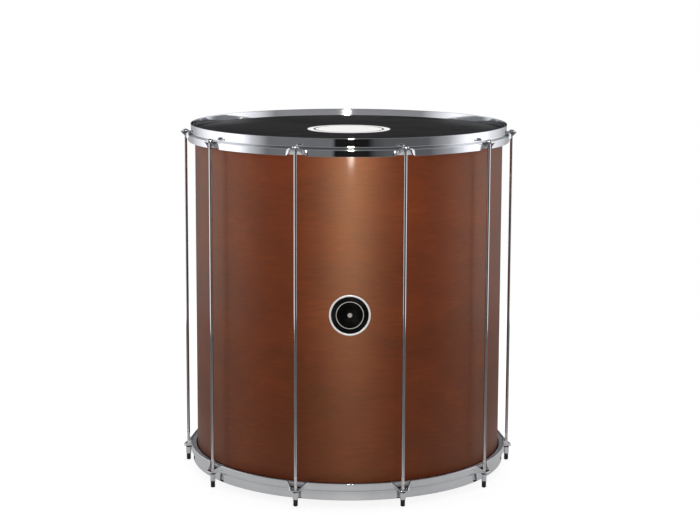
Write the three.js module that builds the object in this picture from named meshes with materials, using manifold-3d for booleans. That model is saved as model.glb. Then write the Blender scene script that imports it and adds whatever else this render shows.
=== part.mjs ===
// Surdo: the bass drum of a samba band, 20 inches across and 22 inches deep. A wooden shell has
// a head stretched over each end. Each head is held by a flesh hoop, and each flesh hoop by a
// pressed steel hoop whose skirt is flared out into ears. Long tension rods hang from the ears
// of the top hoop and run down past the shell to a nut under each ear of the bottom hoop. The
// rod ends wear rubber caps, and the drum stands on them.
//
// Millimetres, +Z up, the floor at z = 0 and the badge facing -Y.

import * as THREE from 'three';
import { mergeVertices } from 'three/addons/utils/BufferGeometryUtils.js';
import Module from 'manifold-3d';

const wasm = await Module();
wasm.setup();

// Fits
const seatGap = 0.3;
const cutOverrun = 2;

// Wooden shell
const shellRadius = 254;
const shellHeight = 540.4;
const shellWall = 7;
const bearingRound = 1.5;
const bearingCut = 3.5;

// Heads
const headThickness = 1.5;

// Flesh hoops, one round the collar of each head
const fleshWidth = 6.7;
const fleshRecess = 2;

// Pressed hoops
const sheetThickness = 2.2;
const rimClearance = 2.3;
const rimRise = 11;
const rimRound = 1.1;
const hoopHeight = 28.3;
const skirtHeight = 10.6;

// Ears of the hoops
const earCount = 10;
const earReach = 12.7;
const earRise = 2.7;
const earShelfWidth = 14;
const earMouthWidth = 36;
const earFlareShares = [0, 0.25, 0.55, 1];

// Tension rods and their button heads
const rodRadius = 2.5;
const rodHoleClearance = 0.5;
const rodEndChamfer = 0.6;
const buttonRadius = 5.25;
const buttonHeight = 3.3;
const buttonDomeShares = [[1, 0], [1, 0.3], [0.8, 0.75], [0.42, 1]];

// Washers and tuning nuts
const washerRadius = 5;
const washerThickness = 2.2;
const nutAcrossFlats = 8;
const nutHeight = 11.3;
const nutChamfer = 0.6;

// Rubber foot caps
const capRadius = 3.6;
const capHeight = 10.6;
const capFloor = 2.6;
const capRoundHeight = 1.8;
const capGroove = 0.35;
const capGrooveShares = [0.42, 0.68];
const capRoundShares = [[0.55, 0], [0.88, 0.33], [1, 1]];

// Badge
const badgeRadius = 32;
const badgeRimWidth = 3.4;
const badgeRimThickness = 1.8;
const badgeFaceThickness = 1.2;
const badgeHeight = 280;

// Facets of round forms
const ringSides = 60;
const rodSides = 8;
const holeSides = 10;
const nutSides = 6;
const badgeSides = 32;
const badgeArcSteps = 5;

// Radii, from the shell outwards
const collarInner = shellRadius + seatGap;
const collarOuter = collarInner + headThickness;
const fleshInner = collarOuter + seatGap;
const fleshOuter = fleshInner + fleshWidth;
const skirtInner = fleshOuter + seatGap;
const skirtOuter = skirtInner + sheetThickness;
const rimInner = collarOuter + rimClearance;
const rimOuter = rimInner + sheetThickness;
const boltRadius = rodRadius + seatGap;

// Heights at one end of the drum, measured outwards from the end of the shell
const headTop = seatGap + headThickness;
const rimTop = headTop + rimRise;
const skirtEdge = rimTop - hoopHeight;
const skirtCorner = skirtEdge + skirtHeight;
const joggleTop = skirtCorner + (skirtOuter - rimOuter);
const earShelf = skirtCorner + earRise;
const earRoot = skirtOuter - earRise;
const earTip = skirtOuter + earReach;
const rodCircle = (earRoot + earTip) / 2;
const fleshTop = earShelf - sheetThickness - seatGap;
const fleshBottom = skirtEdge + fleshRecess;

// Heights above the floor. The feet carry the nuts, washers, ears and so the whole drum.
const nutBottom = capHeight + seatGap;
const washerBottom = nutBottom + nutHeight + seatGap;
const lowerShelf = washerBottom + washerThickness + seatGap;
const shellBottom = lowerShelf + earShelf;
const shellTop = shellBottom + shellHeight;
const buttonBottom = shellTop + earShelf + seatGap;
const rodBottom = capFloor + seatGap;

const turn = 2 * Math.PI;
const earAngles = Array.from({ length: earCount }, (_, index) => ((index + 0.5) * turn) / earCount);

// A point at an angle round the drum, counted from the front
const onRing = (radius, angle, height) => new THREE.Vector3(
  radius * Math.sin(angle), -radius * Math.cos(angle), height);

// A shape turned round +Z, from (radius, height) points that run up its outer side
function turned(profile, sides) {
  const points = profile.map(([radius, height]) => new THREE.Vector2(radius, height));
  return new THREE.LatheGeometry(points, sides).rotateX(turn / 4);
}

function solidOf(geometry) {
  const bare = geometry.clone();
  bare.deleteAttribute('normal');
  bare.deleteAttribute('uv');
  const merged = mergeVertices(bare);
  return new wasm.Manifold(new wasm.Mesh({
    numProp: 3,
    vertProperties: new Float32Array(merged.attributes.position.array),
    triVerts: new Uint32Array(merged.index.array),
  }));
}

function geometryOf(solid) {
  const mesh = solid.getMesh();
  const geometry = new THREE.BufferGeometry();
  geometry.setAttribute('position', new THREE.BufferAttribute(mesh.vertProperties, 3));
  geometry.setIndex(new THREE.BufferAttribute(mesh.triVerts, 1));
  geometry.computeVertexNormals();
  return geometry;
}

// An upright round cutter from one height to another, centred on a point in plan
function roundCutter(radius, low, high, centre) {
  const cutter = new THREE.CylinderGeometry(radius, radius, high - low, holeSides);
  cutter.rotateX(turn / 4);
  cutter.translate(centre.x, centre.y, (low + high) / 2);
  return solidOf(cutter);
}

// Wooden shell: a tube whose outer edges are eased and whose inner edges are cut back at 45
// degrees, so that each end has a narrow bearing crest.
function shellGeometry() {
  const inner = shellRadius - shellWall;
  return turned([
    [shellRadius, bearingRound],
    [shellRadius, shellHeight - bearingRound],
    [shellRadius - bearingRound, shellHeight],
    [inner + bearingCut, shellHeight],
    [inner, shellHeight - bearingCut],
    [inner, bearingCut],
    [inner + bearingCut, 0],
    [shellRadius - bearingRound, 0],
    [shellRadius, bearingRound],
  ], ringSides);
}

// Head: a flat skin with a collar that turns down over the shell and into the flesh hoop
function headGeometry() {
  return turned([
    [0, seatGap],
    [shellRadius - bearingRound, seatGap],
    [collarInner, seatGap - bearingRound],
    [collarInner, fleshBottom],
    [collarOuter, fleshBottom],
    [collarOuter, headTop - headThickness],
    [collarOuter - headThickness, headTop],
    [0, headTop],
  ], ringSides);
}

// Flesh hoop: its outer upper edge is cut at 45 degrees to lie under the joggle of the hoop
function fleshHoopGeometry() {
  const joggleLine = skirtOuter + skirtCorner - sheetThickness * Math.SQRT2;
  const bevelLine = joggleLine - seatGap * Math.SQRT2;
  return turned([
    [fleshOuter, fleshBottom],
    [fleshOuter, bevelLine - fleshOuter],
    [bevelLine - fleshTop, fleshTop],
    [fleshInner, fleshTop],
    [fleshInner, fleshBottom],
    [fleshOuter, fleshBottom],
  ], ringSides);
}

const mix = (from, to, share) => from + (to - from) * share;

// Where two straight stretches of sheet meet, their inner faces meet at this offset
function mitre(normalA, normalB) {
  const scale = sheetThickness / (1 + normalA.dot(normalB));
  return normalA.clone().add(normalB).multiplyScalar(-scale);
}

// Section of the pressed hoop. Flare 0 is the plain skirt. Flare 1 is the middle of an ear,
// where the skirt is swung out level to make a shelf.
function hoopSection(flare) {
  const edge = new THREE.Vector2(mix(skirtOuter, earTip, flare), mix(skirtEdge, earShelf, flare));
  const corner = new THREE.Vector2(
    mix(skirtOuter, earRoot, flare), mix(skirtCorner, earShelf, flare));
  const shoulder = new THREE.Vector2(rimOuter, joggleTop);
  const rimNormal = new THREE.Vector2(1, 0);
  const joggleNormal = new THREE.Vector2(1, 1).normalize();
  const along = edge.clone().sub(corner).normalize();
  const skirtNormal = new THREE.Vector2(-along.y, along.x);
  const rimMiddle = (rimInner + rimOuter) / 2;
  return [
    edge,
    corner,
    shoulder,
    new THREE.Vector2(rimOuter, rimTop - rimRound),
    new THREE.Vector2(rimMiddle, rimTop),
    new THREE.Vector2(rimInner, rimTop - rimRound),
    shoulder.clone().add(mitre(rimNormal, joggleNormal)),
    corner.clone().add(mitre(joggleNormal, skirtNormal)),
    edge.clone().addScaledVector(skirtNormal, -sheetThickness),
  ];
}

// Stations round the hoop. The two flanks of an ear mirror each other, with the flare easing off
// along each, and the plain skirt goes on in the steps of the other rings to the middle between
// two ears.
function hoopStations() {
  const halfShelf = earShelfWidth / 2 / skirtOuter;
  const halfMouth = earMouthWidth / 2 / skirtOuter;
  const halfPitch = turn / earCount / 2;
  const flank = earFlareShares.map((share) => ({
    offset: mix(halfShelf, halfMouth, share), flare: (1 - share) ** 2,
  }));
  const plain = Array.from({ length: ringSides / earCount / 2 - 1 }, (_, index) => (
    { offset: ((index + 1) * turn) / ringSides, flare: 0 }));
  const after = [...flank, ...plain.filter(({ offset }) => offset > halfMouth)];
  const before = after.map(({ offset, flare }) => ({ offset: -offset, flare })).reverse();
  const pattern = [...before, ...after, { offset: halfPitch, flare: 0 }];
  return earAngles.flatMap((ear) => pattern.map(({ offset, flare }) => (
    { angle: ear + offset, flare })));
}

// Pressed hoop: rim, joggle and skirt in one sheet, lofted from station to station, with a
// hole for the rod through the shelf of each ear.
function hoopGeometry() {
  const stations = hoopStations();
  const sections = stations.map(({ flare }) => hoopSection(flare));
  const count = sections[0].length;
  const points = sections.flatMap((section, index) => section.map(
    (point) => onRing(point.x, stations[index].angle, point.y)));
  const faces = [];
  for (let station = 0; station < stations.length; station += 1) {
    const here = station * count;
    const there = ((station + 1) % stations.length) * count;
    for (let side = 0; side < count; side += 1) {
      const next = (side + 1) % count;
      faces.push(here + side, there + side, here + next);
      faces.push(there + next, here + next, there + side);
    }
  }
  const geometry = new THREE.BufferGeometry().setFromPoints(points);
  geometry.setIndex(faces);
  const low = earShelf - sheetThickness - cutOverrun;
  const high = earShelf + cutOverrun;
  const holes = earAngles.map((ear) => (
    roundCutter(rodRadius + rodHoleClearance, low, high, onRing(rodCircle, ear, 0))));
  return geometryOf(holes.reduce((sheet, hole) => sheet.subtract(hole), solidOf(geometry)));
}

// Tension rod: a plain shaft under a domed button head
function rodGeometry() {
  const dome = buttonDomeShares.map(([radius, height]) => (
    [buttonRadius * radius, buttonBottom + buttonHeight * height]));
  return turned([
    [0, rodBottom],
    [rodRadius - rodEndChamfer, rodBottom],
    [rodRadius, rodBottom + rodEndChamfer],
    [rodRadius, buttonBottom],
    ...dome,
    [0, buttonBottom + buttonHeight],
  ], rodSides);
}

function washerGeometry() {
  return turned([
    [washerRadius, 0],
    [washerRadius, washerThickness],
    [boltRadius, washerThickness],
    [boltRadius, 0],
    [washerRadius, 0],
  ], holeSides);
}

// Long hexagonal nut with eased corners at both ends and a plain bore
function nutGeometry() {
  const corner = nutAcrossFlats / Math.sqrt(3);
  const blank = turned([
    [0, 0],
    [corner - nutChamfer, 0],
    [corner, nutChamfer],
    [corner, nutHeight - nutChamfer],
    [corner - nutChamfer, nutHeight],
    [0, nutHeight],
  ], nutSides);
  const bore = roundCutter(boltRadius, -cutOverrun, nutHeight + cutOverrun, new THREE.Vector3());
  return geometryOf(solidOf(blank).subtract(bore));
}

// Foot cap: a rubber cup with a rounded foot, and grooves round it for the fingers to pull on
function capGeometry() {
  const foot = capRoundShares.map(([radius, height]) => (
    [capRadius * radius, capRoundHeight * height]));
  const grooves = capGrooveShares.flatMap((share) => [
    [capRadius, capHeight * share - capGroove],
    [capRadius - capGroove, capHeight * share],
    [capRadius, capHeight * share + capGroove],
  ]);
  return turned([
    [0, 0],
    ...foot,
    ...grooves,
    [capRadius, capHeight],
    [boltRadius, capHeight],
    [boltRadius, capFloor],
    [0, capFloor],
  ], rodSides);
}

// A plate that follows the curve of the shell, with an outline that is round seen from the front
function curvedDisc(radius, thickness) {
  const inner = shellRadius + seatGap;
  const spread = Math.asin((radius + cutOverrun) / inner);
  const front = -turn / 4;
  const outline = new THREE.Shape();
  outline.absarc(0, 0, inner + thickness, front - spread, front + spread, false);
  outline.absarc(0, 0, inner, front + spread, front - spread, true);
  const depth = 2 * (radius + cutOverrun);
  const plate = new THREE.ExtrudeGeometry(outline, {
    depth, bevelEnabled: false, curveSegments: badgeArcSteps,
  });
  plate.translate(0, 0, -depth / 2);
  return solidOf(plate).intersect(frontCutter(radius));
}

function frontCutter(radius) {
  const cutter = new THREE.CylinderGeometry(radius, radius, shellRadius, badgeSides);
  return solidOf(cutter.translate(0, -shellRadius, 0));
}

function badgeRimGeometry() {
  const disc = curvedDisc(badgeRadius, badgeRimThickness);
  return geometryOf(disc.subtract(frontCutter(badgeRadius - badgeRimWidth)));
}

function badgeFaceGeometry() {
  return geometryOf(curvedDisc(badgeRadius - badgeRimWidth - seatGap, badgeFaceThickness));
}

const finish = (color, roughness, metalness) => (
  new THREE.MeshStandardMaterial({ color, roughness, metalness }));
const stainedWood = () => finish(0x7c4a33, 0.45, 0);
const blackSkin = () => finish(0x2a2829, 0.55, 0);
const chrome = () => finish(0xb9bbbd, 0.12, 1);
const aluminium = () => finish(0xbdbbb8, 0.35, 1);
const blackNylon = () => finish(0x1b1b1b, 0.5, 0);
const rubber = () => finish(0x111213, 0.75, 0);
const blackEnamel = () => finish(0x0c0c0d, 0.2, 0);

const surdo = new THREE.Group();

function addPiece(parent, name, geometry, material, place = new THREE.Vector3()) {
  const piece = new THREE.Mesh(geometry, material);
  piece.name = name;
  piece.position.copy(place);
  parent.add(piece);
  return piece;
}

addPiece(surdo, 'shell', shellGeometry(), stainedWood(), new THREE.Vector3(0, 0, shellBottom));

// Both ends hold the same three rings. The lower end is the upper one turned over.
const upperEnd = new THREE.Group();
upperEnd.position.z = shellTop;
const lowerEnd = new THREE.Group();
lowerEnd.position.z = shellBottom;
lowerEnd.rotation.x = turn / 2;
surdo.add(upperEnd, lowerEnd);

addPiece(upperEnd, 'playing_head', headGeometry(), blackSkin());
addPiece(upperEnd, 'top_flesh_hoop', fleshHoopGeometry(), aluminium());
addPiece(upperEnd, 'top_hoop', hoopGeometry(), chrome());
addPiece(lowerEnd, 'resonant_head', headGeometry(), blackSkin());
addPiece(lowerEnd, 'bottom_flesh_hoop', fleshHoopGeometry(), aluminium());
addPiece(lowerEnd, 'bottom_hoop', hoopGeometry(), chrome());

const badge = new THREE.Group();
badge.position.z = shellBottom + badgeHeight;
surdo.add(badge);
addPiece(badge, 'badge_rim', badgeRimGeometry(), chrome());
addPiece(badge, 'badge_face', badgeFaceGeometry(), blackEnamel());

// One rod, washer, nut and foot cap at each ear
earAngles.forEach((angle, index) => {
  const number = String(index + 1).padStart(2, '0');
  addPiece(surdo, `tension_rod_${number}`, rodGeometry(), chrome(), onRing(rodCircle, angle, 0));
  addPiece(surdo, `nut_washer_${number}`, washerGeometry(), blackNylon(),
    onRing(rodCircle, angle, washerBottom));
  const nut = addPiece(surdo, `tuning_nut_${number}`, nutGeometry(), chrome(),
    onRing(rodCircle, angle, nutBottom));
  nut.rotation.z = angle;
  addPiece(surdo, `foot_cap_${number}`, capGeometry(), rubber(), onRing(rodCircle, angle, 0));
});

export default surdo;
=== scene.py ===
import math

import bmesh
import bpy
from mathutils import Matrix, Vector


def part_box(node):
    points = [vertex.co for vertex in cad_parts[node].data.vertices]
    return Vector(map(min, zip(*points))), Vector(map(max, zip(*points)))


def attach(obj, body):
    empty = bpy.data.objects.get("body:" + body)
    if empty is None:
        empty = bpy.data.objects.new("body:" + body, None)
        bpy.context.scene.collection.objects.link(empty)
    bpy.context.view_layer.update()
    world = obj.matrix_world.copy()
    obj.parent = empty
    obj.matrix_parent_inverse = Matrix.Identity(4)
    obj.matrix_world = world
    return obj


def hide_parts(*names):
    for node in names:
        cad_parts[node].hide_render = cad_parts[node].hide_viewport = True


# Surdo: stained shell, two skins, pressed chrome hoops with ears, ten long rods
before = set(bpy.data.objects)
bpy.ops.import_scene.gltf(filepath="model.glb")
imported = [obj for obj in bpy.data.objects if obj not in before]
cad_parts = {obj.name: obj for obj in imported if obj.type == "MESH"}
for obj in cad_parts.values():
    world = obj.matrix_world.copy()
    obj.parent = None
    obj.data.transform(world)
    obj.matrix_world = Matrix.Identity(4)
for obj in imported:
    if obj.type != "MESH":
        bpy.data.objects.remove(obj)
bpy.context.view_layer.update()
print("frame loaded:", len(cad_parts), "nodes")

earCount = 10
earPitch = 360 / earCount
fit = 0.0003          # gap that neighbouring pieces keep
pickReach = 0.0001    # a point this near to a place counts as being there
hair = 0.00001        # a length that counts as none
smoothAngle = 32      # degrees: an edge sharper than this stays sharp
numbers = [f"{index + 1:02d}" for index in range(earCount)]
drumAxis = (0, 0, 0)
rodLow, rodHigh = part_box("tension_rod_03")
rodReach = (rodLow.x + rodHigh.x) / 2     # the third rod stands straight to the right of the drum's axis


# helpers for working in edit mode

def activate(piece):
    bpy.ops.object.select_all(action="DESELECT")
    piece.select_set(True)
    bpy.context.view_layer.objects.active = piece


def beginPiece(name):
    # takes the primitive that was just added and opens it with all of it selected
    piece = bpy.context.active_object
    piece.name = name
    piece.data.name = name
    bpy.ops.object.transform_apply(location=True, rotation=True, scale=True)
    bpy.ops.object.mode_set(mode="EDIT")
    bpy.ops.mesh.select_all(action="SELECT")
    return piece


def closePiece():
    bpy.ops.object.mode_set(mode="OBJECT")


def reopenPiece(piece):
    activate(piece)
    bpy.ops.object.mode_set(mode="EDIT")


def faceOutwards():
    bpy.ops.mesh.select_all(action="SELECT")
    bpy.ops.mesh.normals_make_consistent(inside=False)


def addTube(sides, radius, low, high):
    # an upright tube without thickness, between two heights
    bpy.ops.object.select_all(action="DESELECT")
    bpy.ops.mesh.primitive_cylinder_add(vertices=sides, radius=radius, depth=high - low,
                                        end_fill_type="NOTHING", location=(0, 0, (low + high) / 2))


def pick(kind, test):
    # selects the vertices, edges or faces whose middle passes the test
    bpy.ops.mesh.select_mode(type=kind)
    bpy.ops.mesh.select_all(action="DESELECT")
    mesh = bmesh.from_edit_mesh(bpy.context.edit_object.data)
    items = {"VERT": mesh.verts, "EDGE": mesh.edges, "FACE": mesh.faces}[kind]
    for item in items:
        if kind == "VERT":
            place = item.co
        else:
            place = sum((corner.co for corner in item.verts), Vector()) / len(item.verts)
        if test(place):
            item.select_set(True)
    mesh.select_flush_mode()
    bmesh.update_edit_mesh(bpy.context.edit_object.data)


def reach(place):
    # distance from the drum's axis
    return math.hypot(place.x, place.y)


def growRings(rings):
    # pulls the selected loop through the (radius, height) rings, one extrusion for each
    for (fromRadius, fromHeight), (toRadius, toHeight) in zip(rings, rings[1:]):
        bpy.ops.mesh.extrude_region_move(TRANSFORM_OT_translate={"value": (0, 0, toHeight - fromHeight)})
        growth = toRadius / fromRadius
        bpy.ops.transform.resize(value=(growth, growth, 1), center_override=(0, 0, toHeight))


def addModifier(piece, kind, **settings):
    activate(piece)
    modifier = piece.modifiers.new(kind.title(), kind)
    for key, value in settings.items():
        setattr(modifier, key, value)
    bpy.ops.object.modifier_apply(modifier=modifier.name)


def cutWith(piece, tool, how="DIFFERENCE"):
    addModifier(piece, "BOOLEAN", object=tool, operation=how, solver="EXACT")
    bpy.data.objects.remove(tool)


def copyPiece(piece, name):
    twin = piece.copy()
    twin.data = piece.data.copy()
    twin.name = name
    twin.data.name = name
    bpy.context.collection.objects.link(twin)
    return twin


def settle(piece, node, material):
    # shades a finished piece and ties it to the part that it stands for
    activate(piece)
    bpy.ops.object.shade_smooth_by_angle(angle=math.radians(smoothAngle))
    if not piece.data.materials:
        piece.data.materials.append(material)
    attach(piece, "nut" + node[-3:] if node.startswith("tuning_nut") else "drum")
    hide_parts(node)


# camera, at the height and distance of the photo

cameraSet = {
    "place": (-0.030, -2.874, 0.8467),
    "aimAcross": 0.0025,     # how far right of the axis it looks
    "pitch": -8.383,
    "roll": 0.22,
    "lens": 89.5,
    "sensor": 36,
    "shiftDown": -0.07,
}


def makeCamera():
    data = bpy.data.cameras.new("mainCamera")
    data.lens = cameraSet["lens"]
    data.sensor_width = cameraSet["sensor"]
    data.shift_y = cameraSet["shiftDown"]
    camera = bpy.data.objects.new("mainCamera", data)
    bpy.context.scene.collection.objects.link(camera)
    place = Vector(cameraSet["place"])
    yaw = math.atan2(place.x - cameraSet["aimAcross"], -place.y)
    turned = (Matrix.Rotation(yaw, 4, "Z") @ Matrix.Rotation(math.radians(90 + cameraSet["pitch"]), 4, "X")
              @ Matrix.Rotation(math.radians(cameraSet["roll"]), 4, "Z"))
    camera.matrix_world = Matrix.Translation(place) @ turned
    bpy.context.scene.camera = camera


makeCamera()
print("camera placed")


# materials

def tone(red, green, blue):
    # a colour written as it shows on screen, 0 to 255
    def straight(value):
        value /= 255
        return value / 12.92 if value <= 0.04045 else ((value + 0.055) / 1.055) ** 2.4
    return (straight(red), straight(green), straight(blue), 1)


def addNode(tree, kind, inputs=None, **settings):
    # settings come before the inputs, because some settings decide which inputs there are
    node = tree.nodes.new(kind)
    for key, value in settings.items():
        setattr(node, key, value)
    for key, value in (inputs or {}).items():
        if isinstance(value, bpy.types.NodeSocket):
            tree.links.new(value, node.inputs[key])
        else:
            node.inputs[key].default_value = value
    return node


def addRamp(tree, factor, stops):
    node = addNode(tree, "ShaderNodeValToRGB", {"Fac": factor})
    ramp = node.color_ramp
    for place, colour in stops[2:]:
        ramp.elements.new(place)
    for element, (place, colour) in zip(ramp.elements, stops):
        element.position = place
        element.color = colour
    return node.outputs["Color"]


def addSpan(tree, value, low, high):
    # a mask from 0 to 1 turned into a value between two ends
    node = addNode(tree, "ShaderNodeMapRange", {"Value": value, "To Min": low, "To Max": high})
    return node.outputs["Result"]


def addMask(tree, value, start, end):
    # 0 up to the start, 1 from the end on
    node = addNode(tree, "ShaderNodeMapRange", {"Value": value, "From Min": start, "From Max": end})
    return node.outputs["Result"]


def addMath(tree, operation, *values):
    node = addNode(tree, "ShaderNodeMath", dict(enumerate(values)), operation=operation)
    return node.outputs["Value"]


def mixValues(tree, share, first, second):
    node = addNode(tree, "ShaderNodeMix", {0: share, 2: first, 3: second}, data_type="FLOAT")
    return node.outputs[0]


def mixTones(tree, share, first, second):
    node = addNode(tree, "ShaderNodeMix", {0: share, 6: first, 7: second}, data_type="RGBA")
    return node.outputs[2]


def addNoise(tree, vector, scale, detail, rough):
    node = addNode(tree, "ShaderNodeTexNoise", {"Vector": vector, "Scale": scale, "Detail": detail,
                                                "Roughness": rough})
    return node.outputs["Fac"]


def addBump(tree, height, strength, distance):
    node = addNode(tree, "ShaderNodeBump", {"Height": height, "Strength": strength, "Distance": distance})
    return node.outputs["Normal"]


def objectPlace(tree):
    return addNode(tree, "ShaderNodeTexCoord").outputs["Object"]


def stretched(tree, vector, scale):
    return addNode(tree, "ShaderNodeMapping", {"Vector": vector, "Scale": scale}).outputs["Vector"]


def newMaterial(name, **flat):
    material = bpy.data.materials.new(name)
    material.use_nodes = True
    tree = material.node_tree
    shader = tree.nodes["Principled BSDF"]
    for key, value in flat.items():
        shader.inputs[key].default_value = value
    return material, tree, shader


def newGroup(name, inputs, outputs):
    tree = bpy.data.node_groups.new(name, "ShaderNodeTree")
    for label, kind, value in inputs:
        socket = tree.interface.new_socket(name=label, in_out="INPUT", socket_type=kind)
        if value is not None:
            socket.default_value = value
    for label, kind in outputs:
        tree.interface.new_socket(name=label, in_out="OUTPUT", socket_type=kind)
    return tree, tree.nodes.new("NodeGroupInput"), tree.nodes.new("NodeGroupOutput")


smearing = {"scale": 9.0, "span": (0.42, 0.68)}
# in graining, the span for the hollows gives the grain heights over which the painted shade in the hollows
# comes in
graining = {"scale": 900.0, "softness": 0.6, "hollowShadeSpan": (0.6, 1.3)}


def makeHandlingMarks():
    # faint smears from hands and cloths, as a soft mask
    tree, source, result = newGroup("handlingMarks", [
        ("Place", "NodeSocketVector", None), ("Size", "NodeSocketFloat", smearing["scale"]),
    ], [("Smears", "NodeSocketFloat")])
    broad = addNoise(tree, source.outputs["Place"], source.outputs["Size"], detail=5, rough=0.6)
    tree.links.new(addMask(tree, broad, *smearing["span"]), result.inputs["Smears"])
    return tree


def makePebble():
    # rounded grain of coated and moulded surfaces: a height, and a mask of its hollows that paints shade
    # into them
    tree, source, result = newGroup("pebbleGrainAndShade", [
        ("Place", "NodeSocketVector", None), ("Grain", "NodeSocketFloat", graining["scale"]),
    ], [("Height", "NodeSocketFloat"), ("HollowShade", "NodeSocketFloat")])
    place, scale = source.outputs["Place"], source.outputs["Grain"]
    cells = addNode(tree, "ShaderNodeTexVoronoi", {
        "Vector": place, "Scale": scale, "Smoothness": graining["softness"]}, feature="SMOOTH_F1")
    noise = addNoise(tree, place, scale, detail=3, rough=0.6)
    height = addMath(tree, "ADD", cells.outputs["Distance"], noise)
    tree.links.new(height, result.inputs["Height"])
    tree.links.new(addMask(tree, height, *graining["hollowShadeSpan"]), result.inputs["HollowShade"])
    return tree


handlingMarks = makeHandlingMarks()
pebbleGrainAndShade = makePebble()


def makeSmooth(name, light, dark, rough, smears, grain, relief, depth, noiseRough=0.5, **flat):
    # plating, lacquered metal and enamel: smears dull them a little, over a faint unevenness
    material, tree, shader = newMaterial(name, **flat)
    place = objectPlace(tree)
    marks = addNode(tree, "ShaderNodeGroup", {"Place": place, "Size": smears}, node_tree=handlingMarks)
    colour = addRamp(tree, marks.outputs["Smears"], [(0, light), (1, dark)])
    uneven = addNoise(tree, place, grain, detail=2, rough=noiseRough)
    tree.links.new(colour, shader.inputs["Base Color"])
    tree.links.new(addSpan(tree, marks.outputs["Smears"], *rough), shader.inputs["Roughness"])
    tree.links.new(addBump(tree, uneven, relief, depth), shader.inputs["Normal"])
    return material


def makeChrome(name, rough, waviness, pitch=5.0):
    # bright plating, over pressed or drawn steel that is not quite even
    return makeSmooth(name, tone(226, 228, 231), tone(216, 218, 221), rough, smears=11.0, grain=pitch,
                      relief=waviness, depth=0.002, noiseRough=0.4, Metallic=1.0)


wood = {
    "surface": {
        "Metallic": 0.1, "IOR": 1.6, "Specular IOR Level": 1.0, "Specular Tint": (1.0, 0.64, 0.40, 1),
        "Anisotropic": 0.5, "Anisotropic Rotation": 0.25, "Coat Weight": 0.05, "Coat Roughness": 0.1},
    # noise cells per metre, across and up: the grain runs level
    "cloudScale": (9, 9, 14),
    "streakScale": (34, 34, 400),
    "fleckScale": (80, 80, 640),
    "fleckShare": 0.4,       # in the figure, the rest is streaks
    "cloudShare": 0.4,       # in the stain, the rest is the figure
    "poreSpan": (0.60, 0.74),
    "poreShare": 0.3,
    "poreTone": tone(70, 24, 6),
    "stain": [
        (0.38, tone(78, 24, 2)), (0.47, tone(96, 33, 3)),
        (0.54, tone(104, 37, 4)), (0.63, tone(119, 49, 8))],
    "rough": (0.53, 0.61),
    "relief": 0.2,
    "reliefDepth": 0.0002,
}


def makeWood():
    # orange-brown stain under satin lacquer, with the grain running level round the shell
    material, tree, shader = newMaterial("stainedShell", **wood["surface"])
    place = objectPlace(tree)
    cloud = addNoise(tree, stretched(tree, place, wood["cloudScale"]), scale=1.0, detail=4, rough=0.6)
    streaks = addNoise(tree, stretched(tree, place, wood["streakScale"]), scale=1.0, detail=5, rough=0.65)
    flecks = addNoise(tree, stretched(tree, place, wood["fleckScale"]), scale=1.0, detail=3, rough=0.6)
    pores = addMask(tree, flecks, *wood["poreSpan"])
    figure = mixValues(tree, wood["fleckShare"], streaks, flecks)
    blend = mixValues(tree, wood["cloudShare"], figure, cloud)
    stain = addRamp(tree, blend, wood["stain"])
    darkened = mixTones(tree, addSpan(tree, pores, 0, wood["poreShare"]), stain, wood["poreTone"])
    tree.links.new(darkened, shader.inputs["Base Color"])
    tree.links.new(addSpan(tree, blend, *wood["rough"]), shader.inputs["Roughness"])
    relief = addMath(tree, "SUBTRACT", streaks, pores)
    tree.links.new(addBump(tree, relief, wood["relief"], wood["reliefDepth"]), shader.inputs["Normal"])
    return material


pebbled = {"smears": 7.0, "dulling": 0.12}


def makePebbled(name, light, dark, rough, grain, relief, depth, **flat):
    # coated skin, print, rubber and nylon: one colour, with painted shade that makes it darker in the
    # hollows of its grain
    material, tree, shader = newMaterial(name, **flat)
    place = objectPlace(tree)
    pebble = addNode(tree, "ShaderNodeGroup", {"Place": place, "Grain": grain}, node_tree=pebbleGrainAndShade)
    marks = addNode(tree, "ShaderNodeGroup", {"Place": place, "Size": pebbled["smears"]},
                    node_tree=handlingMarks)
    colour = addRamp(tree, pebble.outputs["HollowShade"], [(0, light), (1, dark)])
    tree.links.new(colour, shader.inputs["Base Color"])
    tree.links.new(addSpan(tree, marks.outputs["Smears"], rough, rough + pebbled["dulling"]),
                   shader.inputs["Roughness"])
    tree.links.new(addBump(tree, pebble.outputs["Height"], relief, depth), shader.inputs["Normal"])
    return material


strip = {
    "lineScale": (20, 20, 3000),
    "tones": [(0.3, tone(176, 182, 192)), (0.7, tone(200, 206, 215))],
    "rough": (0.4, 0.55),
    "relief": 0.15,
    "reliefDepth": 0.0001,
}


def makeAluminium():
    # drawn strip, brushed along its length
    material, tree, shader = newMaterial("fleshHoopMetal", Metallic=0.3)
    place = objectPlace(tree)
    lines = addNoise(tree, stretched(tree, place, strip["lineScale"]), scale=1.0, detail=3, rough=0.6)
    tree.links.new(addRamp(tree, lines, strip["tones"]), shader.inputs["Base Color"])
    tree.links.new(addSpan(tree, lines, *strip["rough"]), shader.inputs["Roughness"])
    tree.links.new(addBump(tree, lines, strip["relief"], strip["reliefDepth"]), shader.inputs["Normal"])
    return material


hoopChrome = makeChrome("hoopChrome", rough=(0.03, 0.06), waviness=0.05)
rodChrome = makeChrome("rodChrome", rough=(0.05, 0.09), waviness=0.02, pitch=40.0)
nutChrome = makeChrome("nutChrome", rough=(0.08, 0.15), waviness=0.03, pitch=60.0)
buttonChrome = makeChrome("buttonChrome", rough=(0.2, 0.3), waviness=0.03, pitch=60.0)
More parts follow.
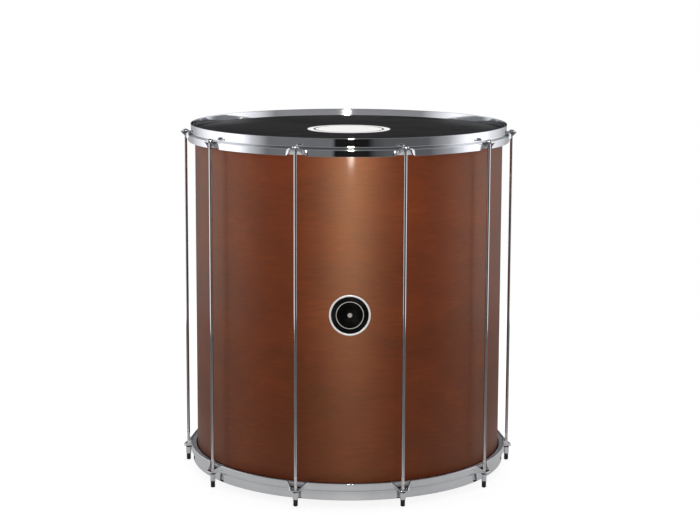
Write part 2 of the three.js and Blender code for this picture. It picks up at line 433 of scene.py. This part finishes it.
# blasted and lacquered metal, light from every side
bezelMetal = makeSmooth("bezelMetal", tone(232, 235, 242), tone(220, 223, 231), rough=(0.3, 0.42),
                        smears=30.0, grain=1800, relief=0.1, depth=0.0001, Metallic=0.2)
stainedShell = makeWood()
# blackSkin, skinPrint, blackNylon and blackRubber: their second tone is painted shade in the hollows of the
# grain
blackSkin = makePebbled("blackSkin", tone(27, 25, 26), tone(18, 17, 18), rough=0.42, grain=900.0,
                        relief=0.5, depth=0.0002, **{"Specular IOR Level": 0.03})
skinPrint = makePebbled("skinPrint", tone(243, 242, 240), tone(232, 231, 229), rough=0.5, grain=900.0,
                        relief=0.5, depth=0.0002)
fleshHoopMetal = makeAluminium()
blackNylon = makePebbled("blackNylon", tone(30, 30, 30), tone(22, 22, 22), rough=0.42, grain=1600.0,
                         relief=0.2, depth=0.0001)
blackRubber = makePebbled("blackRubber", tone(24, 25, 26), tone(15, 16, 17), rough=0.62, grain=2400.0,
                          relief=0.4, depth=0.0001)
# black enamel, with the faint orange peel that poured enamel has
badgeEnamel = makeSmooth("badgeEnamel", tone(4, 4, 5), tone(9, 9, 10), rough=(0.12, 0.22), smears=40.0,
                         grain=420, relief=0.06, depth=0.0003,
                         **{"Coat Weight": 0.6, "Coat Roughness": 0.04})
badgeMark = makePebbled("badgeMark", tone(178, 177, 174), tone(166, 165, 162), rough=0.3, grain=2000.0,
                        relief=0.1, depth=0.0001)
print("materials ready")


# shell

shell = {
    "sides": 256,
    "wall": 0.007,
    "outerEase": 0.0015,    # rounding of the outer edges
    "innerCut": 0.0035,     # 45 degree cut inside each bearing edge
}


def makeShell():
    low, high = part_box("shell")
    addTube(shell["sides"], high.x, low.z, high.z)
    tube = beginPiece("shellTube")
    closePiece()
    addModifier(tube, "SOLIDIFY", thickness=shell["wall"], offset=-1, use_even_offset=True)
    reopenPiece(tube)
    middle = (low.z + high.z) / 2

    def atEnd(place):
        return abs(abs(place.z - middle) - (high.z - low.z) / 2) < pickReach

    pick("EDGE", lambda place: atEnd(place) and reach(place) < high.x - shell["wall"] + pickReach)
    bpy.ops.mesh.bevel(offset=shell["innerCut"], segments=1)
    pick("EDGE", lambda place: atEnd(place) and reach(place) > high.x - pickReach)
    bpy.ops.mesh.bevel(offset=shell["outerEase"], segments=4)
    closePiece()
    settle(tube, "shell", stainedShell)


makeShell()
print("shell made")


# heads

skin = {
    "sides": 256,
    "thickness": 0.0012,
    "crown": 0.0026,        # width of the turn over the bearing edge
    "crownSteps": 6,
    "printReach": 0.0685,
    "printBand": (0.0585, 0.0555),     # ring of bare skin inside the print
}


def makeHead(node, name, material):
    low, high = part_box(node)
    upward = node == "playing_head"
    face, hem = (high.z, low.z) if upward else (low.z, high.z)
    down = -1 if upward else 1
    outer, crown, steps = high.x, skin["crown"], skin["crownSteps"]
    bpy.ops.object.select_all(action="DESELECT")
    bpy.ops.mesh.primitive_circle_add(vertices=skin["sides"], radius=outer - crown, fill_type="NGON",
                                      location=(0, 0, face))
    head = beginPiece(name)
    pick("EDGE", lambda place: reach(place) > outer - crown - pickReach)
    rings = [(outer - crown, face)]
    for step in range(1, steps + 1):
        angle = math.radians(90 * step / steps)
        rings.append((outer - crown + crown * math.sin(angle), face + down * crown * (1 - math.cos(angle))))
    rings.append((outer, hem))
    growRings(rings)
    pick("FACE", lambda place: reach(place) < pickReach)
    if upward:
        current = outer - crown
        for radius in (skin["printReach"], *skin["printBand"]):
            bpy.ops.mesh.inset(thickness=hair)
            shrink = radius / current
            bpy.ops.transform.resize(value=(shrink, shrink, 1), center_override=(0, 0, face))
            current = radius
    faceOutwards()
    closePiece()
    head.data.materials.append(material)
    if upward:
        head.data.materials.append(skinPrint)
        bandOuter, bandInner = skin["printBand"]
        for polygon in head.data.polygons:
            corners = [reach(head.data.vertices[index].co) for index in polygon.vertices]
            inBand = max(corners) < bandOuter + pickReach and min(corners) > bandInner - pickReach
            inPrint = max(corners) < skin["printReach"] + pickReach
            if inPrint and not (inBand and len(corners) == 4):
                polygon.material_index = 1
    addModifier(head, "SOLIDIFY", thickness=skin["thickness"], offset=-1, use_even_offset=True)
    settle(head, node, material)


makeHead("playing_head", "playingSkin", blackSkin)
makeHead("resonant_head", "resonantSkin", blackSkin)
print("heads made")


# flesh hoops

fleshRing = {
    "sides": 256,
    "ease": 0.0005,
    "cut": 0.0044,     # 45 degree cut under the joggle of the hoop
}


def makeFleshHoop(node, name):
    low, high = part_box(node)
    width = high.x - (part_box("playing_head")[1].x + fit)
    addTube(fleshRing["sides"], high.x, low.z, high.z)
    ring = beginPiece(name)
    closePiece()
    addModifier(ring, "SOLIDIFY", thickness=width, offset=-1, use_even_offset=True)
    cutEnd = high.z if node.startswith("top") else low.z
    reopenPiece(ring)
    pick("EDGE", lambda place: abs(place.z - cutEnd) < pickReach and reach(place) > high.x - width / 2)
    bpy.ops.mesh.bevel(offset=fleshRing["cut"], segments=1)
    closePiece()
    addModifier(ring, "BEVEL", width=fleshRing["ease"], segments=2, limit_method="ANGLE")
    settle(ring, node, fleshHoopMetal)


makeFleshHoop("top_flesh_hoop", "topFleshRing")
makeFleshHoop("bottom_flesh_hoop", "bottomFleshRing")
print("flesh hoops made")


# pressed hoops

hoop = {
    "sides": 900,
    "sheet": 0.0022,
    "lipRound": 0.0009,
    "lipAngle": 60,          # degrees: edges sharper than this are lips
    "rimReach": 0.2603,      # outer radius of the rim
    "rimLean": 0.0010,       # the rim opens out a little towards its edge
    "joggleDrop": 0.0157,    # from the rim's edge down to the middle of the joggle
    "joggleRound": 0.0024,
    "joggleTilt": 75,        # degrees from upright at its middle
    "joggleSteps": 6,
    "earDrop": 0.015,        # from the rim's edge down to the level top of an ear
    "earReach": 0.0126,
    "shelfWidth": 0.014,     # level middle of an ear
    "mouthWidth": 0.036,     # and from the end of one flank to the end of the other
    "flankCurve": 1.7,
    "holeReach": 0.003,
    "holeSides": 40,
}


def earOffset(place):
    # degrees from the nearest ear, round the drum
    angle = math.degrees(math.atan2(place.x, -place.y)) % earPitch
    return abs(angle - earPitch / 2)


def hoopRings(low, high, skirtReach):
    # the outer face from the skirt's edge up to the rim's, through the two bends of the joggle
    sheet, rimReach, steps = hoop["sheet"], hoop["rimReach"], hoop["joggleSteps"]
    bend, tilt = hoop["joggleRound"], math.radians(hoop["joggleTilt"])
    bendRise = bend * math.sin(tilt)
    straight = (skirtReach - rimReach - 2 * bend * (1 - math.cos(tilt))) / math.tan(tilt)
    middle = high.z - hoop["joggleDrop"]
    skirtTop = middle - straight / 2 - bendRise
    rimFoot = middle + straight / 2 + bendRise
    near = sheet / 3      # rings this near a bend keep the flat beside it flat
    lower = [(skirtReach, low.z), (skirtReach, low.z + sheet / 2), (skirtReach, (low.z + skirtTop) / 2),
             (skirtReach, skirtTop - near)]
    upper = []
    for step in range(steps + 1):
        angle = tilt * step / steps
        inward, rise = bend * (1 - math.cos(angle)), bend * math.sin(angle)
        lower.append((skirtReach - inward, skirtTop + rise))
        upper.insert(0, (rimReach + inward, rimFoot - rise))
    slope = hoop["rimLean"] / (high.z - rimFoot)
    edge = high.z - slope * sheet     # the inside of a leaning sheet ends a little higher than its outside
    for height in (rimFoot + near, (rimFoot + edge) / 2, edge - sheet / 2, edge):
        upper.append((rimReach + slope * (height - rimFoot), height))
    return lower, upper, middle, rimFoot


def earPath(lower, upper, middle, rimFoot, shelf, root, tip):
    # each ring of the skirt and joggle, and where the middle of an ear takes it
    moves = []
    for radius, height in upper:
        if height < rimFoot:
            lifted = shelf + (height - middle) * (rimFoot - shelf) / (rimFoot - middle)
            moves.append((radius, height, radius, lifted))
    moves.reverse()
    corners = [(root, middle), *reversed(lower)]
    walked, path = [], 0
    for here, there in zip(corners, corners[1:]):
        path += math.dist(here, there)
        walked.append(path)
    for (radius, height), distance in zip(corners[1:], walked):
        moves.append((radius, height, root + (tip - root) * distance / path, shelf))
    return moves


def swingEars(moves, skirtReach):
    # the skirt is swung out level from the middle of the joggle, less and less along the flanks
    step = 360 / hoop["sides"]
    shelfEnd = math.degrees(hoop["shelfWidth"] / 2 / skirtReach)
    flankEnd = math.degrees(hoop["mouthWidth"] / 2 / skirtReach)
    for station in range(math.ceil(flankEnd / step)):
        offset = station * step
        along = (offset - shelfEnd) / (flankEnd - shelfEnd)
        flare = (1 - max(along, 0)) ** hoop["flankCurve"]
        for radius, height, toRadius, toHeight in moves:
            pick("VERT", lambda place: abs(place.z - height) < hair
                 and abs(earOffset(place) - offset) < step / 4)
            growth = 1 + (toRadius / radius - 1) * flare
            bpy.ops.transform.resize(value=(growth, growth, 1), center_override=drumAxis)
            bpy.ops.transform.translate(value=(0, 0, (toHeight - height) * flare))


def drillEars(pressed, height):
    # one hole for a rod in each ear
    drills = []
    for index in range(earCount):
        angle = math.radians((index + 0.5) * earPitch)
        bpy.ops.object.select_all(action="DESELECT")
        bpy.ops.mesh.primitive_cylinder_add(
            vertices=hoop["holeSides"], radius=hoop["holeReach"], depth=hoop["sheet"] * 4,
            location=(rodReach * math.sin(angle), -rodReach * math.cos(angle), height))
        drills.append(bpy.context.active_object)
    for drill in drills:
        drill.select_set(True)
    bpy.ops.object.join()
    cutWith(pressed, bpy.context.active_object)


def makeHoop():
    low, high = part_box("top_hoop")
    sheet = hoop["sheet"]
    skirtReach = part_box("top_flesh_hoop")[1].x + fit + sheet
    lower, upper, middle, rimFoot = hoopRings(low, high, skirtReach)
    bpy.ops.object.select_all(action="DESELECT")
    bpy.ops.mesh.primitive_circle_add(vertices=hoop["sides"], radius=skirtReach, location=(0, 0, low.z))
    pressed = beginPiece("topHoopSheet")
    growRings(lower + upper)
    shelf = high.z - hoop["earDrop"]
    root, tip = (skirtReach + hoop["rimReach"]) / 2, skirtReach + hoop["earReach"]
    swingEars(earPath(lower, upper, middle, rimFoot, shelf, root, tip), skirtReach)
    faceOutwards()
    closePiece()
    addModifier(pressed, "SOLIDIFY", thickness=sheet, offset=-1, use_even_offset=True)
    addModifier(pressed, "BEVEL", width=hoop["lipRound"], segments=4, limit_method="ANGLE",
                angle_limit=math.radians(hoop["lipAngle"]))
    drillEars(pressed, shelf - sheet / 2)
    return pressed


topHoop = makeHoop()
bottomHoop = copyPiece(topHoop, "bottomHoopSheet")
reopenPiece(bottomHoop)
bpy.ops.mesh.select_all(action="SELECT")
middleHeight = (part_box("top_hoop")[1].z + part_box("bottom_hoop")[0].z) / 2
bpy.ops.transform.rotate(value=math.pi, orient_axis="X", center_override=(0, 0, middleHeight))
closePiece()
settle(topHoop, "top_hoop", hoopChrome)
settle(bottomHoop, "bottom_hoop", hoopChrome)
print("hoops made:", len(topHoop.data.polygons), "faces each")


# rod, washer, nut and cap, made once on the drum's axis and copied to each ear

rod = {
    "sides": 32,
    "reach": 0.0025,
    "buttonReach": 0.00525,
    "buttonHeight": 0.0033,
    "buttonEase": 0.0002,
    "buttonWall": 0.3,        # share of the button's height below its dome
    "domeSteps": 6,
    "threadTop": 0.047,
    "threadFoot": 0.0004,     # from the rod's end up to the first turn
    "runOut": 0.0006,         # cone from the shaft down to the thread's core
    "pitch": 0.0008,
    "threadDepth": 0.0004,
    "crestDrop": 0.00002,     # the thread's crest lies this far inside the shaft's face
    "threadSteps": 20,
}
washer = {"sides": 48, "ease": 0.0003}
nut = {
    "sides": 6,
    "turn": 30,        # degrees about its axis, to stand as the solid does
    "acrossFlats": 0.008,
    "ease": 0.0004,
    "cornerCut": 0.0007,
    "barrelSides": 64,
    "bore": 0.0028,
    "boreSides": 48,
}
cap = {
    "sides": 40,
    "floor": 0.0026,
    "footShare": 0.55,        # flat underside, as a share of the cap's radius
    "roundHeight": 0.0018,
    "roundSteps": 6,
    "grooves": (0.36, 0.56, 0.76),     # shares of the cap's height
    "groove": 0.00035,
    # section of a groove in groove depths: (up from its middle, depth)
    "grooveShape": ((-1.6, 0), (-1.1, 0.5), (-0.4, 1), (0.4, 1), (1.1, 0.5), (1.6, 0)),
    "mouthEase": 0.0004,
    "mouthShare": 0.3,
}


def addButton(under):
    # grows the button from the shaft's upper end
    reachOut, height = rod["buttonReach"], rod["buttonHeight"]
    ease, wall = rod["buttonEase"], rod["buttonWall"]
    rings = [(rod["reach"], under), (reachOut - ease, under), (reachOut, under + ease),
             (reachOut, under + height * wall)]
    for step in range(1, rod["domeSteps"]):
        angle = math.radians(90 * step / rod["domeSteps"])
        rings.append((reachOut * math.cos(angle), under + height * (wall + (1 - wall) * math.sin(angle))))
    growRings(rings)


def makeThread(foot, top):
    # one V of the thread, turned and raised by its pitch for every turn
    pitch, crest = rod["pitch"], rod["reach"] - rod["crestDrop"]
    bpy.ops.object.select_all(action="DESELECT")
    bpy.ops.mesh.primitive_plane_add(size=pitch)
    thread = beginPiece("rodThread")
    mesh = bmesh.from_edit_mesh(thread.data)
    mesh.verts.ensure_lookup_table()
    bmesh.ops.delete(mesh, geom=[mesh.verts[3]], context="VERTS")
    # the tip of the V is the one corner that still has two edges
    lowEnd, highEnd, tip = sorted(mesh.verts, key=lambda corner: len(corner.link_edges))
    tip.co = (crest, 0, foot + pitch / 2)
    lowEnd.co = (crest - rod["threadDepth"], 0, foot)
    highEnd.co = (crest - rod["threadDepth"], 0, foot + pitch)
    bmesh.update_edit_mesh(thread.data)
    closePiece()
    addModifier(thread, "SCREW", screw_offset=pitch, iterations=int((top - foot) / pitch),
                steps=rod["threadSteps"], render_steps=rod["threadSteps"], use_merge_vertices=True,
                merge_threshold=hair)
    reopenPiece(thread)
    bpy.ops.mesh.select_all(action="SELECT")
    bpy.ops.mesh.remove_doubles(threshold=hair)
    bpy.ops.mesh.fill_holes(sides=0)
    bpy.ops.mesh.normals_make_consistent(inside=False)
    closePiece()


def makeRod():
    radius, start = rod["reach"], rod["threadTop"]
    under = rodHigh.z - rod["buttonHeight"]
    bpy.ops.object.select_all(action="DESELECT")
    bpy.ops.mesh.primitive_cylinder_add(vertices=rod["sides"], radius=radius, depth=under - start,
                                        location=(0, 0, (under + start) / 2))
    shaft = beginPiece("rodShaft")
    pick("FACE", lambda place: place.z > under - pickReach)
    addButton(under)
    pick("FACE", lambda place: place.z < start + pickReach)
    growRings([(radius, start), (radius - rod["threadDepth"], start - rod["runOut"])])
    closePiece()
    shaft.data.materials.append(rodChrome)
    shaft.data.materials.append(buttonChrome)
    for polygon in shaft.data.polygons:
        if polygon.center.z > under - pickReach:
            polygon.material_index = 1
    makeThread(rodLow.z + rod["threadFoot"], start)
    shaft.select_set(True)
    bpy.context.view_layer.objects.active = shaft
    bpy.ops.object.join()
    return shaft


def makeWasher():
    low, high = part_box("nut_washer_03")
    radius = (high.x - low.x) / 2
    addTube(washer["sides"], radius, low.z, high.z)
    ring = beginPiece("nylonWasher")
    closePiece()
    addModifier(ring, "SOLIDIFY", thickness=radius - nut["bore"], offset=-1, use_even_offset=True)
    addModifier(ring, "BEVEL", width=washer["ease"], segments=2, limit_method="ANGLE")
    return ring


def makeNut():
    low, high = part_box("tuning_nut_03")
    corner = nut["acrossFlats"] / math.sqrt(3)
    middle, tall = (low.z + high.z) / 2, high.z - low.z
    bpy.ops.object.select_all(action="DESELECT")
    bpy.ops.mesh.primitive_cylinder_add(vertices=nut["sides"], radius=corner, depth=tall,
                                        location=(0, 0, middle), rotation=(0, 0, math.radians(nut["turn"])))
    blank = beginPiece("longNut")
    pick("EDGE", lambda place: abs(place.z - middle) < pickReach)
    bpy.ops.mesh.bevel(offset=nut["ease"], segments=3)
    closePiece()
    # both ends are turned down at their corners, and the bore goes through
    bpy.ops.object.select_all(action="DESELECT")
    bpy.ops.mesh.primitive_cylinder_add(vertices=nut["barrelSides"], radius=corner, depth=tall,
                                        location=(0, 0, middle))
    barrel = beginPiece("nutBarrel")
    pick("EDGE", lambda place: abs(place.z - middle) > tall / 2 - pickReach and reach(place) > corner / 2)
    bpy.ops.mesh.bevel(offset=nut["cornerCut"], segments=1)
    closePiece()
    cutWith(blank, barrel, "INTERSECT")
    bpy.ops.object.select_all(action="DESELECT")
    bpy.ops.mesh.primitive_cylinder_add(vertices=nut["boreSides"], radius=nut["bore"], depth=tall * 2,
                                        location=(0, 0, middle))
    cutWith(blank, bpy.context.active_object)
    return blank


def makeCap():
    low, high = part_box("foot_cap_03")
    radius, tall = (high.x - low.x) / 2, high.z - low.z
    foot, steps = cap["footShare"], cap["roundSteps"]
    bpy.ops.object.select_all(action="DESELECT")
    bpy.ops.mesh.primitive_circle_add(vertices=cap["sides"], radius=radius * foot, fill_type="NGON",
                                      location=(0, 0, low.z))
    cup = beginPiece("rubberFoot")
    pick("EDGE", lambda place: reach(place) > radius * foot / 2)
    rings = [(radius * foot, low.z)]
    for step in range(1, steps + 1):
        angle = math.radians(90 * step / steps)
        rings.append((radius * (foot + (1 - foot) * math.sin(angle)),
                      low.z + cap["roundHeight"] * (1 - math.cos(angle))))
    for share in cap["grooves"]:
        for rise, depth in cap["grooveShape"]:
            rings.append((radius - cap["groove"] * depth, low.z + tall * share + cap["groove"] * rise))
    ease, eased = cap["mouthEase"], cap["mouthEase"] * cap["mouthShare"]
    rings += [(radius, high.z - ease), (radius - eased, high.z - eased), (radius - ease, high.z),
              (nut["bore"], high.z), (nut["bore"], low.z + cap["floor"])]
    growRings(rings)
    bpy.ops.mesh.edge_face_add()
    faceOutwards()
    closePiece()
    return cup


def setRound(model, name, node, material):
    # a copy at each ear, turned to face outwards, each with its own mesh
    for index, number in enumerate(numbers):
        angle = math.radians((index + 0.5) * earPitch - 90)
        piece = copyPiece(model, name + number)
        piece.data.transform(Matrix.Rotation(angle, 4, "Z") @ Matrix.Translation((rodReach, 0, 0)))
        settle(piece, f"{node}_{number}", material)
    bpy.data.objects.remove(model)


setRound(makeRod(), "rodShaft", "tension_rod", rodChrome)
setRound(makeWasher(), "nylonWasher", "nut_washer", blackNylon)
setRound(makeNut(), "longNut", "tuning_nut", nutChrome)
setRound(makeCap(), "rubberFoot", "foot_cap", blackRubber)
print("rods, washers, nuts and caps set")


# badge

badge = {
    "sides": 128,
    "rimWidth": 0.003,
    "rimThickness": 0.0018,
    "faceThickness": 0.0012,
    "ease": 0.0005,
    "markBand": (0.0215, 0.0203),
    "markDot": 0.0035,
    "outerRing": 0.026,       # plain rings between the marks, so that the plate can bend to the shell
    "middleRings": (0.016, 0.011, 0.007),
    "centreRing": 0.0012,
    "drawnAt": 0.3,           # how far in front of the drum's axis the rings are drawn
    "wrapSides": 1440,
    "wrapHeight": 1,
}


def makeBadgeDisc(name, radii, closed):
    # rings drawn flat in front of the shell and pressed onto its curve
    low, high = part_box("badge_rim")
    height = (low.z + high.z) / 2
    bpy.ops.object.select_all(action="DESELECT")
    bpy.ops.mesh.primitive_circle_add(vertices=badge["sides"], radius=radii[0], location=(0, 0, 0))
    disc = beginPiece(name)
    growRings([(radius, 0) for radius in radii])
    if closed:
        bpy.ops.mesh.edge_face_add()
    faceOutwards()
    closePiece()
    inFront = Matrix.Translation((0, -badge["drawnAt"], height))
    disc.data.transform(inFront @ Matrix.Rotation(math.radians(90), 4, "X"))
    bpy.ops.object.select_all(action="DESELECT")
    bpy.ops.mesh.primitive_cylinder_add(vertices=badge["wrapSides"], radius=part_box("shell")[1].x + fit,
                                        depth=badge["wrapHeight"], location=(0, 0, height),
                                        end_fill_type="NOTHING")
    former = bpy.context.active_object
    addModifier(disc, "SHRINKWRAP", target=former, wrap_method="PROJECT", use_project_y=True,
                use_positive_direction=True, use_negative_direction=False)
    bpy.data.objects.remove(former)
    return disc


def makeBadge():
    low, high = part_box("badge_rim")
    edge, height = (high.x - low.x) / 2, (low.z + high.z) / 2
    inner = edge - badge["rimWidth"]
    bezel = makeBadgeDisc("badgeBezel", [edge, (edge + inner) / 2, inner], False)
    addModifier(bezel, "SOLIDIFY", thickness=badge["rimThickness"], offset=1, use_even_offset=True)
    addModifier(bezel, "BEVEL", width=badge["ease"], segments=3, limit_method="ANGLE")
    settle(bezel, "badge_rim", bezelMetal)
    bandOuter, bandInner = badge["markBand"]
    plate = makeBadgeDisc("badgePlate", [
        inner - fit, badge["outerRing"], bandOuter, bandInner, *badge["middleRings"], badge["markDot"],
        badge["centreRing"]], True)
    plate.data.materials.append(badgeEnamel)
    plate.data.materials.append(badgeMark)
    for polygon in plate.data.polygons:
        corners = [plate.data.vertices[index].co for index in polygon.vertices]
        spans = [math.hypot(corner.x, corner.z - height) for corner in corners]
        inBand = max(spans) < bandOuter + pickReach and min(spans) > bandInner - pickReach
        if inBand or max(spans) < badge["markDot"] + pickReach:
            polygon.material_index = 1
    addModifier(plate, "SOLIDIFY", thickness=badge["faceThickness"], offset=1, use_even_offset=True)
    settle(plate, "badge_face", badgeEnamel)


makeBadge()
print("badge made")


# studio: pale floor, soft panels at both sides, white all round for the camera

studio = {
    "floorReach": 1.4,
    "floorSides": 96,
    "floorDrop": 0.0002,     # the floor lies this far under the caps
    "floorTone": tone(140, 140, 141),
    "floorSpeckle": 0.95,
    "lift": (0.88, 0.99),        # what the camera sees added to the floor at the drum, and further out
    "liftSpan": (0.3, 1.1),      # distances from the drum's axis between which it changes
    "mirror": (0.35, 0.02),      # and what the chrome sees added to it
    "mirrorSpan": (0.36, 0.52),
    "behindTone": 0.03,      # dark end of the room behind the drum
    "ceilingTone": 0.08,
    "blueness": 1.03,        # of the room's greys
    # how high a direction points, from -1 to 1, where one part of the room changes to the next
    "eyeSpan": (-0.02, 0.03),
    "highSpan": (0.12, 0.2),
    "ceilingSpan": (0.6, 0.8),
    # the dark end starts and stops at these, and lies in directions that point back this far
    "darkFrom": (0.0, 0.03),
    "darkUntil": (0.14, 0.22),
    "behindSpan": (0.8, 0.93),
    # tone of the room by direction, in degrees from the front, to the right of it above zero:
    # below the height of the drum's top, a little above it, and up to the ceiling
    "low": [
        (-180, 0.3), (-150, 0.5), (-126, 1.2), (-104, 1.6), (-84, 1.5), (-74, 0.7), (-60, 0.19),
        (-12, 0.18), (-10, 0.012), (13, 0.012), (18, 0.08), (26, 0.115), (58, 0.13), (76, 0.45), (90, 1.2),
        (108, 1.85), (122, 1.1), (150, 0.5), (180, 0.3)],
    "eye": [
        (-180, 0.2), (-140, 1.0), (-125, 1.4), (-90, 1.4), (-72, 0.85), (-58, 0.32), (0, 0.3), (58, 0.32),
        (72, 0.85), (90, 1.4), (125, 1.4), (140, 1.0), (180, 0.2)],
    "high": [
        (-180, 0.3), (-150, 0.35), (-126, 0.9), (-104, 1.2), (-84, 1.1), (-74, 0.4), (-62, 0.25), (62, 0.25),
        (76, 0.3), (90, 1.0), (108, 1.4), (122, 0.9), (150, 0.35), (180, 0.3)],
}
lights = {
    "keyLight": {
        "place": (0.05, -2.9, 0.80), "aim": (0, 0, 0.70), "size": (0.18, 0.16), "spread": 40,
        "watts": 3.4, "colour": (1.0, 0.94, 0.84), "mirrored": True},
    "overheadLight": {
        "place": (0.0, 0.1, 2.4), "aim": (0, 0.1, 0), "size": (0.7, 0.7), "spread": 60,
        "watts": 3.8, "colour": (1.0, 1.0, 1.0), "mirrored": False},
}


def addLight(name, settings):
    data = bpy.data.lights.new(name, "AREA")
    data.shape = "RECTANGLE"
    data.size, data.size_y = settings["size"]
    data.energy = settings["watts"]
    data.spread = math.radians(settings["spread"])
    data.color = settings["colour"]
    light = bpy.data.objects.new(name, data)
    bpy.context.scene.collection.objects.link(light)
    light.location = settings["place"]
    towards = Vector(settings["aim"]) - Vector(settings["place"])
    light.rotation_euler = towards.to_track_quat("-Z", "Y").to_euler()
    light.visible_camera = False
    # only the key light shows in the chrome
    light.visible_glossy = settings["mirrored"]


def makeFloor():
    # the camera sees it lifted almost to white, so that only the drum's shadow shows
    bpy.ops.object.select_all(action="DESELECT")
    bpy.ops.mesh.primitive_circle_add(vertices=studio["floorSides"], radius=studio["floorReach"],
                                      fill_type="NGON", location=(0, 0, -studio["floorDrop"]))
    floor = bpy.context.active_object
    floor.name = "floor"
    material, tree, shader = newMaterial("paleFloor", Roughness=0.8)
    place = objectPlace(tree)
    speckle = addNoise(tree, place, scale=60, detail=3, rough=0.5)
    red, green, blue, alpha = studio["floorTone"]
    shade = studio["floorSpeckle"]
    darker = (red * shade, green * shade, blue * shade, alpha)
    tree.links.new(addRamp(tree, speckle, [(0.3, darker), (0.7, studio["floorTone"])]),
                   shader.inputs["Base Color"])
    distance = addNode(tree, "ShaderNodeVectorMath", {0: place}, operation="LENGTH").outputs["Value"]
    lift = addSpan(tree, addMask(tree, distance, *studio["liftSpan"]), *studio["lift"])
    mirror = addSpan(tree, addMask(tree, distance, *studio["mirrorSpan"]), *studio["mirror"])
    light = addNode(tree, "ShaderNodeLightPath")
    seen = addMath(tree, "MULTIPLY", light.outputs["Is Camera Ray"], lift)
    glow = addMath(tree, "MULTIPLY_ADD", light.outputs["Is Glossy Ray"], mirror, seen)
    tree.links.new(glow, shader.inputs["Emission Strength"])
    shader.inputs["Emission Color"].default_value = (1, 1, 1, 1)
    floor.data.materials.append(material)


def makeRoom():
    world = bpy.data.worlds.new("studioRoom")
    world.use_nodes = True
    bpy.context.scene.world = world
    tree = world.node_tree
    facing = addNode(tree, "ShaderNodeTexCoord").outputs["Generated"]
    parts = addNode(tree, "ShaderNodeSeparateXYZ", {"Vector": facing})
    front = addMath(tree, "MULTIPLY", parts.outputs["Y"], -1.0)
    angle = addMath(tree, "ARCTAN2", parts.outputs["X"], front)
    share = addMask(tree, angle, -math.pi, math.pi)

    def grey(value):
        return (value, value, value * studio["blueness"], 1)

    def tonesRound(name):
        return addRamp(tree, share, [
            ((degrees + 180) / 360, grey(value)) for degrees, value in studio[name]])

    def rising(name):
        return addMask(tree, parts.outputs["Z"], *studio[name])

    around = mixTones(tree, rising("eyeSpan"), tonesRound("low"), tonesRound("eye"))
    around = mixTones(tree, rising("highSpan"), around, tonesRound("high"))
    # the end of the room behind the drum is dark, except along the floor and up high
    behind = addMask(tree, parts.outputs["Y"], *studio["behindSpan"])
    level = addMath(tree, "SUBTRACT", rising("darkFrom"), rising("darkUntil"))
    dark = addMath(tree, "MULTIPLY", behind, level)
    around = mixTones(tree, dark, around, grey(studio["behindTone"]))
    room = mixTones(tree, rising("ceilingSpan"), around, grey(studio["ceilingTone"]))
    seen = addNode(tree, "ShaderNodeLightPath").outputs["Is Camera Ray"]
    shown = mixTones(tree, seen, room, (1, 1, 1, 1))
    tree.links.new(shown, tree.nodes["Background"].inputs["Color"])


makeFloor()
makeRoom()
for lightName, lightSet in lights.items():
    addLight(lightName, lightSet)
bpy.context.scene.view_settings.view_transform = "Standard"
print("studio made")
